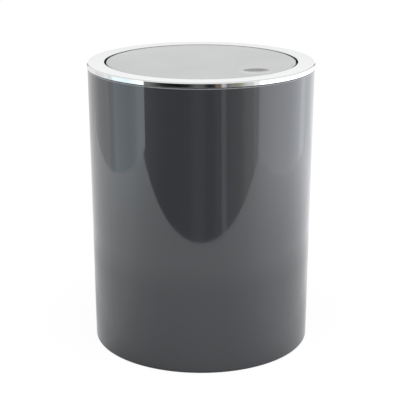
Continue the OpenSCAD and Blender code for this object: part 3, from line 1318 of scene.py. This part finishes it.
@dataclass
class BackCover:
    """The dark cover under the flap, with the pod that holds the steel weight."""

    layout: Layout
    cover: float = 1.6 * MM
    gap: float = 0.15 * MM
    edge_rounding: float = 0.5 * MM
    pod_length: float = 83.8 * MM
    pod_width: float = 27.8 * MM
    pod_wall: float = 1.6 * MM
    pod_corner: float = 3.9 * MM
    pod_edge: float = 1.4 * MM
    screw_hole: float = 1.45 * MM
    corner_steps: int = 8
    edge_steps: int = 5

    def build(self, plastic: Material) -> Piece:
        """Models the back cover.

        Args:
            plastic: Its finish.

        Returns:
            The piece.
        """
        layout = self.layout
        low = layout.cover_top - self.cover
        radius = layout.flap_radius - layout.flap_skirt - self.gap
        outline = [(0.0, low), (radius, low), (radius, layout.cover_top), (0.0, layout.cover_top)]
        return complete(
            turned_piece("flap_cover_shell", outline, [Rim(radius, low, self.edge_rounding, segments=4)]),
            [plastic],
            joined=[self.pod(low)],
            cut=[self.pod_inside(low), self.openings(low, radius)],
        )

    def rounded_block(
        self, length: float, width: float, bottom: float, top: float, corner: float, edge: float
    ) -> Solids:
        """Models a block with round upright corners and a rounded bottom edge.

        Args:
            length: Size along X.
            width: Size along Y.
            bottom: Height of its underside.
            top: Height of its top.
            corner: Rounding of the upright corners.
            edge: Rounding round the underside.

        Returns:
            The block.
        """
        block = Solids().slab((-length / 2, -width / 2, bottom), (length / 2, width / 2, top))
        shape = block.shape
        upright = [e for e in shape.edges if abs(e.verts[0].co.z - e.verts[1].co.z) > SAME_PLACE]
        bevel(shape, upright, corner, self.corner_steps)
        under = [e for e in shape.edges if all(abs(v.co.z - bottom) < SAME_PLACE for v in e.verts)]
        bevel(shape, under, edge, self.edge_steps)
        faces_outwards(shape)
        return block

    def pod(self, low: float) -> Solids:
        """The pod's outer shape."""
        return self.rounded_block(self.pod_length, self.pod_width, self.layout.pod_bottom, low + self.cover / 2,
                                  self.pod_corner, self.pod_edge)

    def pod_inside(self, low: float) -> Solids:
        """The room for the weight."""
        wall = self.pod_wall
        return self.rounded_block(self.pod_length - 2 * wall, self.pod_width - 2 * wall,
                                  self.layout.pod_bottom + wall, low + self.cover + self.layout.overrun,
                                  self.pod_corner - wall, self.edge_rounding / 2)

    def openings(self, low: float, radius: float) -> Solids:
        """Makes the notches round the pin bosses and the screw holes.

        Args:
            low: Height of the cover's underside.
            radius: The cover's radius.

        Returns:
            The solids.
        """
        layout = self.layout
        half = layout.pin_boss_radius + layout.free_gap
        bottom = low - layout.overrun
        top = layout.cover_top + layout.overrun
        start = layout.flap_radius - layout.pin_boss_length - layout.free_gap
        notches = Solids().slab((start, -half, bottom), (radius + layout.overrun, half, top)).both_ends()
        return notches.posts(layout.flap_screw_angles, layout.flap_screw_circle, bottom, top, self.screw_hole)


# The studio


@dataclass(frozen=True)
class Glow:
    """How bright the studio is at one angle in degrees, where a white background is 1."""

    angle: float
    brightness: float
    tint: str = WHITE


Glows = tuple[Glow, ...]


def tinted(tint: str, *glows: tuple[float, float]) -> Glows:
    """Gives glows of one tint, from the angle and the brightness of each."""
    return tuple(Glow(angle, brightness, tint) for angle, brightness in glows)


@dataclass
class Studio:
    """A white table with a lit panel at each side, open to a darker room behind the camera.

    It is laid out along the photograph's view and stays so when another camera looks: across
    is to the right of the bin, away is behind it. Angles round the table count from the near
    side to the right. Angles of the sky count from the far horizon over the bin to the near
    side. The sheen is the sky that only reflections show.
    """

    camera_azimuth: float = -44.0
    camera_distance: float = 974.2 * MM
    camera_height: float = 413 * MM
    camera_pitch: float = 16.868
    sensor: float = 36.0
    focal_share: float = 1212.28 / 400
    shift_share: float = -1.1 / 400
    floor_size: float = 6.0
    floor_glow: float = 0.95
    floor_white: float = 1.02
    near_shade: str = "#DADADA"
    open_shade: str = "#F6F6F6"
    shade_span: tuple[float, float] = (255 * MM, 325 * MM)
    shadow_shade: str = "#A8A8A8"
    shadow_place: tuple[float, float] = (0.0, 60 * MM)
    shadow_span: tuple[float, float] = (100 * MM, 160 * MM)
    rise_span: tuple[float, float] = (370 * MM, 600 * MM)
    rise: float = 1.6
    card_near: float = 600 * MM
    card_far: float = 1500 * MM
    table_front: float = 396 * MM
    left_edge: float = -612 * MM
    right_edge: float = 600 * MM
    left_span: tuple[float, float] = (-434 * MM, 500 * MM)
    right_span: tuple[float, float] = (-409 * MM, 640 * MM)
    panel_height: float = 700 * MM
    gleam_height: float = 260 * MM
    gleam_gap: float = 0.5 * MM
    room_width: float = 5.0
    room_lift: float = 0.4 * MM
    room: Glows = (
        *tinted(WHITE, (-57, 0.3), (-48, 0.18), (-41, 0.07), (-36, 0.03), (-22, 0.01), (-12, 0.03), (-4, 0.16)),
        *tinted(WHITE, (2, 0.13), (6, 0.03), (10, 0.03)),
        *tinted("#F5DCC8", (13, 0.09), (14.5, 0.24), (18.5, 0.22)),
        *tinted(WHITE, (20, 0.7), (22.5, 0.6), (25, 0.2), (28, 0.3)),
        *tinted("#FFFFE6", (34, 0.34), (39, 0.48)),
        *tinted(WHITE, (42, 0.7), (48, 0.9), (50, 0.8), (52, 1.25), (58, 1.25)),
    )
    left_panel: Glows = (
        *tinted(WHITE, (-145, 1.25), (-130, 1.15), (-118, 1.0), (-106, 1.1), (-101, 1.25)),
        Glow(-98, 1.1, "#F4FCFF"),
        Glow(-93, 1.2, "#F0FBFF"),
        *tinted("#EBFAFF", (-90, 1.6), (-72, 1.5), (-66, 1.65), (-61, 2.15)),
    )
    table: Glows = (
        *tinted(WHITE, (-163, 0.0), (-150, 0.08), (-135, 0.17), (-116, 0.28), (-95, 0.42), (-70, 0.42), (-60, 0.27)),
        *tinted(WHITE, (-50, 0.17), (-40, 0.1), (-25, 0.03), (20, 0.03), (33, 0.12), (41, 0.2), (51, 0.32)),
        *tinted(WHITE, (60, 0.42), (70, 0.46), (128, 0.43), (140, 0.28), (150, 0.16), (163, 0.0)),
    )
    card: Glows = (
        *tinted(WHITE, (-168, 0.72), (-160, 0.88), (-154, 1.0), (-144, 1.1)),
        *tinted(WHITE, (140, 1.65), (146, 1.65), (150, 1.45), (156, 1.3), (163, 1.05), (168, 0.75)),
    )
    right_panel: Glows = (
        *tinted("#F7FAFF", (55, 1.8), (58, 2.45), (70, 2.75), (76, 2.85), (94, 2.7)),
        *tinted("#F7FAFF", (111, 2.75), (115, 3.1), (120, 2.85), (126, 2.1), (141, 1.7)),
    )
    sky: Glows = (
        *tinted(WHITE, (0, 1.07), (10.4, 1.09), (11.3, 1.2), (15, 1.3), (19, 0.35), (50, 0.35)),
        *tinted(WHITE, (56, 1.1), (95, 1.2), (150, 1.1), (180, 0.7)),
    )
    sheen: Glows = (
        *tinted(WHITE, (0, 1.07), (10.4, 1.09), (11.3, 1.2), (15, 1.3), (28, 1.3), (32, 0.35), (48, 0.35)),
        *tinted(WHITE, (52, 1.15), (150, 1.15), (180, 0.8)),
    )
    arch_half: float = 0.1
    arch_bend: float = 3.0

    def place(self, across: float, away: float, height: float) -> Vector:
        """Turns a place in the studio into one in the bin's frame."""
        return self.turned().to_3x3() @ Vector((across, away, height))

    def turned(self) -> Matrix:
        """The turn from the studio's directions to the bin's."""
        return Matrix.Rotation(math.radians(self.camera_azimuth), 4, "Z")

    def build(self) -> None:
        """Sets up the camera, the floor, the sheets that light the bin, and the world."""
        self.camera()
        self.floor()
        self.reflected_ground()
        self.side_panel("panel_left", self.left_edge, self.left_span, self.left_panel)
        self.side_panel("panel_right", self.right_edge, self.right_span, self.right_panel)
        self.world()

    def camera(self) -> None:
        """Places the camera where the photograph was taken from."""
        data = bpy.data.cameras.new("camera")
        data.sensor_width = self.sensor
        data.lens = self.sensor * self.focal_share
        data.shift_x = self.shift_share
        camera = bpy.data.objects.new("camera", data)
        bpy.context.scene.collection.objects.link(camera)
        camera.location = self.place(0, -self.camera_distance, self.camera_height)
        camera.rotation_euler = (math.radians(90 - self.camera_pitch), 0, math.radians(self.camera_azimuth))
        bpy.context.scene.camera = camera

    def sheet(self, name: str, size: tuple[float, float], place: Matrix) -> Piece:
        """Makes a flat sheet of the studio.

        Args:
            name: The object's name.
            size: Its two sides.
            place: Where its middle goes and how it is turned in the studio.

        Returns:
            The sheet, marked as stage.
        """
        shape = bmesh.new()
        bmesh.ops.create_grid(shape, x_segments=1, y_segments=1, size=0.5)
        scale = Matrix.Diagonal((*size, 1.0, 1.0))
        bmesh.ops.transform(shape, matrix=self.turned() @ place @ scale, verts=shape.verts)
        sheet = to_object(shape, name)
        sheet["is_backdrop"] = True
        return sheet

    def glow_light(self, tree: Tree, rise: Socket, run: Socket, glows: Glows) -> Sockets:
        """Adds the studio's brightness by angle.

        Args:
            tree: The node tree.
            rise: The part of the direction across the line from which the angle counts.
            run: The part of the direction along that line.
            glows: The brightness at each angle.

        Returns:
            The colour as a share of the brightest one, and the brightness of that one, as a
            shader's Color and Strength.
        """
        angle = add_node(tree, "ShaderNodeMath", {"operation": "ARCTAN2"}, {0: rise, 1: run})
        span = {"Value": angle, "From Min": -math.pi, "From Max": math.pi}
        ramp = add_node(tree, "ShaderNodeValToRGB", inputs={0: add_node(tree, "ShaderNodeMapRange", inputs=span)})
        peak = max(glow.brightness for glow in glows)
        marks = ramp.color_ramp.elements
        marks.remove(marks[1])
        for index, glow in enumerate(glows):
            share = 0.5 + glow.angle / 360
            mark = marks.new(share) if index else marks[0]
            mark.position = share
            mark.color = [channel * glow.brightness / peak for channel in linear_colour(glow.tint)[:3]] + [1.0]
        return {"Color": ramp.outputs["Color"], "Strength": peak}

    def studio_axes(self, tree: Tree, place: Socket) -> Node:
        """Adds the split of a place or direction into across, away and up in the studio.

        Args:
            tree: The node tree.
            place: The place or direction.

        Returns:
            The node whose outputs X, Y and Z are the three.
        """
        turn_back = {"Vector": place, "Rotation": (0.0, 0.0, -math.radians(self.camera_azimuth))}
        turned = add_node(tree, "ShaderNodeMapping", inputs=turn_back)
        return add_node(tree, "ShaderNodeSeparateXYZ", inputs={0: turned})

    def glow_round(self, tree: Tree, place: Socket, glows: Glows) -> Sockets:
        """Adds the studio's brightness by the direction from the bin's axis.

        Args:
            tree: The node tree.
            place: The place that is lit.
            glows: The brightness at each angle.

        Returns:
            A shader's Color and Strength.
        """
        axes = self.studio_axes(tree, place)
        near = add_node(tree, "ShaderNodeMath", {"operation": "MULTIPLY"}, {0: axes.outputs["Y"], 1: -1.0})
        return self.glow_light(tree, axes.outputs["X"], near.outputs[0], glows)

    def glowing(self, name: str, glows: Glows) -> Material:
        """Makes a lit material whose brightness goes by the direction from the bin's axis.

        Args:
            name: The material's name.
            glows: The brightness at each angle.

        Returns:
            The material.
        """
        material = empty_material(name)
        tree = material.node_tree
        place = add_node(tree, "ShaderNodeTexCoord").outputs["Object"]
        light = add_node(tree, "ShaderNodeEmission", inputs=self.glow_round(tree, place, glows))
        add_node(tree, "ShaderNodeOutputMaterial", inputs={"Surface": light})
        return material

    def floor(self) -> None:
        """Lays the white floor, which shows white to the camera but keeps the bin's shadow.

        Its paint is darker near the bin and darkest close behind it, a painted shadow. Reflections also
        show it overexposed at both sides, as the photograph's is, from a painted glow that only glossy rays see.
        """
        sheet = self.sheet("studio_floor", (self.floor_size, self.floor_size), Matrix.Identity(4))
        material = empty_material("studio_floor")
        tree = material.node_tree
        place = add_node(tree, "ShaderNodeTexCoord").outputs["Object"]
        behind = tuple(self.place(*self.shadow_place, 0.0))
        away = add_node(tree, "ShaderNodeVectorMath", {"operation": "LENGTH"}, {0: place})
        apart = add_node(tree, "ShaderNodeVectorMath", {"operation": "DISTANCE"}, {0: place, 1: behind})
        clear, bare, rise = [
            add_node(
                tree,
                "ShaderNodeMapRange",
                inputs={
                    "Value": distance.outputs["Value"],
                    "From Min": start,
                    "From Max": end,
                    "To Min": low,
                    "To Max": high,
                },
            )
            for distance, (start, end), low, high in (
                (away, self.shade_span, 0.0, 1.0),
                (apart, self.shadow_span, 0.0, 1.0),
                (away, self.rise_span, 1.0, self.rise),
            )
        ]
        ray = add_node(tree, "ShaderNodeLightPath")
        # Painted light: a glow by direction from the bin that only glossy rays see, growing away from the bin.
        light = self.glow_round(tree, place, self.table)
        shown = {0: rise, 1: ray.outputs["Is Glossy Ray"]}
        strength = {0: add_node(tree, "ShaderNodeMath", {"operation": "MULTIPLY"}, shown), 1: light["Strength"]}
        light["Strength"] = add_node(tree, "ShaderNodeMath", {"operation": "MULTIPLY"}, strength)
        # Painted shade: darker paint near the bin and darker still close behind it, a painted shadow.
        shades = {0: clear, 6: linear_colour(self.near_shade), 7: linear_colour(self.open_shade)}
        shade = add_node(tree, "ShaderNodeMix", {"data_type": "RGBA"}, shades).outputs[2]
        paint = add_node(tree, "ShaderNodeBsdfDiffuse", inputs={"Color": shade})
        shadow = add_node(tree, "ShaderNodeBsdfDiffuse", inputs={"Color": linear_colour(self.shadow_shade)})
        matte = add_node(tree, "ShaderNodeMixShader", inputs={0: bare, 1: shadow, 2: paint})
        bright = add_node(tree, "ShaderNodeEmission", inputs=light)
        lit = add_node(tree, "ShaderNodeAddShader", inputs={0: matte, 1: bright})
        white = add_node(tree, "ShaderNodeEmission", inputs={"Strength": self.floor_white})
        seen = {0: ray.outputs["Is Camera Ray"], 1: self.floor_glow}
        share = add_node(tree, "ShaderNodeMath", {"operation": "MULTIPLY"}, seen)
        mix = add_node(tree, "ShaderNodeMixShader", inputs={0: share, 1: lit, 2: white})
        add_node(tree, "ShaderNodeOutputMaterial", inputs={"Surface": mix})
        dress(sheet, material)

    def reflected_ground(self) -> None:
        """Lays a card beyond the table and the ground of the room before it, which only reflections show."""
        card_middle = (self.card_near + self.card_far) / 2
        room_middle = -(self.table_front + self.room_width / 2)
        for name, middle, size, glows in (
            ("far_card", card_middle, (2 * self.card_far, self.card_far - self.card_near), self.card),
            ("dark_room", room_middle, (2 * self.room_width, self.room_width), self.room),
        ):
            sheet = self.sheet(name, size, Matrix.Translation((0, middle, self.room_lift)))
            dress(sheet, self.glowing(name, glows))
            sheet.visible_camera = sheet.visible_diffuse = sheet.visible_shadow = False

    def side_panel(self, name: str, across: float, span: tuple[float, float], glows: Glows) -> None:
        """Stands a lit panel at one side of the table, of which reflections show only the foot.

        Args:
            name: The panel's name.
            across: How far to the right of the bin it stands.
            span: Its near and far end.
            glows: Its brightness along its length.
        """
        near, far = span
        upright = Matrix.Rotation(math.pi / 2, 4, "Y")
        glow = self.glowing(name, glows)
        for part, height, towards in (("light", self.panel_height, 0.0), ("gleam", self.gleam_height, self.gleam_gap)):
            reach = across - math.copysign(towards, across)
            place = Matrix.Translation((reach, (near + far) / 2, height / 2)) @ upright
            sheet = self.sheet(f"{name}_{part}", (height, far - near), place)
            dress(sheet, glow)
            sheet.visible_camera = False
            sheet.visible_diffuse = sheet.visible_shadow = part == "light"
            sheet.visible_glossy = part == "gleam"

    def world(self) -> None:
        """Surrounds the table with white, with a dimmer stretch of ceiling high up at the back.

        In reflections that stretch is narrower, and bends down at both sides like an arch.
        """
        world = bpy.data.worlds.new("studio")
        bpy.context.scene.world = world
        world.use_nodes = True
        tree = world.node_tree
        tree.nodes.clear()
        axes = self.studio_axes(tree, add_node(tree, "ShaderNodeTexCoord").outputs["Generated"])
        arch = add_node(tree, "ShaderNodeMath", {"operation": "ABSOLUTE"}, {0: axes.outputs["X"]})
        past = {"operation": "SUBTRACT", "use_clamp": True}
        arch = add_node(tree, "ShaderNodeMath", past, {0: arch, 1: self.arch_half})
        bend = {0: arch, 1: self.arch_bend, 2: axes.outputs["Z"]}
        arch = add_node(tree, "ShaderNodeMath", {"operation": "MULTIPLY_ADD"}, bend)
        sky, sheen = [
            add_node(tree, "ShaderNodeBackground", inputs=self.glow_light(tree, rise, axes.outputs["Y"], glows))
            for rise, glows in ((axes.outputs["Z"], self.sky), (arch.outputs[0], self.sheen))
        ]
        white = add_node(tree, "ShaderNodeBackground", inputs={"Color": linear_colour(WHITE), "Strength": 1.0})
        ray = add_node(tree, "ShaderNodeLightPath")
        unseen = add_node(tree, "ShaderNodeMixShader", inputs={0: ray.outputs["Is Glossy Ray"], 1: sky, 2: sheen})
        mix = add_node(tree, "ShaderNodeMixShader", inputs={0: ray.outputs["Is Camera Ray"], 1: unseen, 2: white})
        add_node(tree, "ShaderNodeOutputWorld", inputs={"Surface": mix})


@dataclass
class Bin:
    """The whole bin: its finishes, the modelled pieces and the carried-over ones."""

    layout: Layout
    nodes: dict[str, Piece]

    # Inside, wiping has dulled the gloss to a satin that shows only soft lights. The shoulder's
    # edge is painted pale, a painted highlight along it. Fingers have polished the dish smooth, so
    # it shows sharper lights; it is also painted darker than the flap, a painted shade.
    outside: Finish = GlossPolystyrene()
    inside: Finish = GlossPolystyrene("satin_polystyrene", roughness=(0.2, 0.3))
    painted_edge_highlight: Finish = GlossPolystyrene("worn_polystyrene", "#7A7B7D", "#808183", roughness=(0.1, 0.16))
    plating: Finish = ChromePlate()
    lacquer: Finish = SilverLacquer()
    rubbed_and_shaded: Finish = SilverLacquer("rubbed_lacquer", "#AFAFAF", "#A9A9AA", roughness=(0.17, 0.22))
    collar_abs: Finish = MouldedAbs("moulded_abs_black", "#2A2C30", "#2E3034")
    cover_abs: Finish = MouldedAbs("moulded_abs_grey", "#45474B", "#494B50")
    pin_acetal: Finish = Acetal("white_acetal", "#E6E4DC", "#E0DED5")
    bush_acetal: Finish = Acetal("black_acetal", "#1D1E20", "#222326")
    screw_steel: Finish = ZincSteel("zinc_plated_screws", "#C4C7CB", "#B4B7BC")
    weight_steel: Finish = ZincSteel("zinc_plated_weight", "#A8ABB0", "#989BA1")

    def add(self, piece: Piece, body: Body, slot: str, *replaced: str) -> None:
        """Attaches a new piece to its body and hides the nodes that it stands for.

        Args:
            piece: The piece.
            body: The body it moves with.
            slot: Not used.
            replaced: The nodes that it stands for.
        """
        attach(piece, body.value)
        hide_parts(*replaced)
        LOG.info("%s: %d faces, on %s", piece.name, len(piece.data.polygons), body.value)

    def keep(self, finish: Finish, *nodes: str) -> None:
        """Gives carried-over nodes their material.

        Args:
            finish: Their finish.
            nodes: Their names.
        """
        material = finish.build()
        for node in nodes:
            for place in self.nodes[node].material_slots:
                place.material = material
            LOG.info("%s: kept, in %s", node, material.name)

    def build(self) -> None:
        """Builds and dresses every piece."""
        layout = self.layout
        shell = Bucket(layout).build(self.outside.build(), self.inside.build(), self.painted_edge_highlight.build())
        self.add(shell, Body.BUCKET, "bucket_plastic", "bucket")
        self.add(Ring(layout).build(self.plating.build()), Body.LID_FRAME, "plated_plastic", "chrome_ring")
        self.add(Collar(layout).build(self.collar_abs.build()), Body.LID_FRAME, "collar_plastic", "hinge_collar")
        plate = FlapPlate(layout).build(self.lacquer.build(), self.rubbed_and_shaded.build())
        self.add(plate, Body.FLAP, "flap_lacquer", "flap_plate")
        self.add(BackCover(layout).build(self.cover_abs.build()), Body.FLAP, "back_plastic", "flap_back")
        self.keep(self.pin_acetal, "pivot_pin_left", "pivot_pin_right")
        self.keep(self.bush_acetal, "pivot_bush_left", "pivot_bush_right")
        self.keep(self.screw_steel, "ring_screws", "flap_screws")
        self.keep(self.weight_steel, "counterweight")


def corners(box: tuple[Vector, Vector]) -> list[list[float]]:
    """Turns a box into plain lists."""
    return [list(corner) for corner in box]


def main() -> None:
    """Loads the frame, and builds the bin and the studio."""
    logging.basicConfig(level=logging.INFO, format="%(name)s: %(message)s")
    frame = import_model()
    cad_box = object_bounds()
    bpy.context.scene.view_settings.view_transform = "Standard"
    Bin(Layout.from_frame(frame["joints"]), frame["nodes"]).build()
    Studio().build()
    {"cad": corners(cad_box), "visual": corners(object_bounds())}


if __name__ == "__main__":
    main()
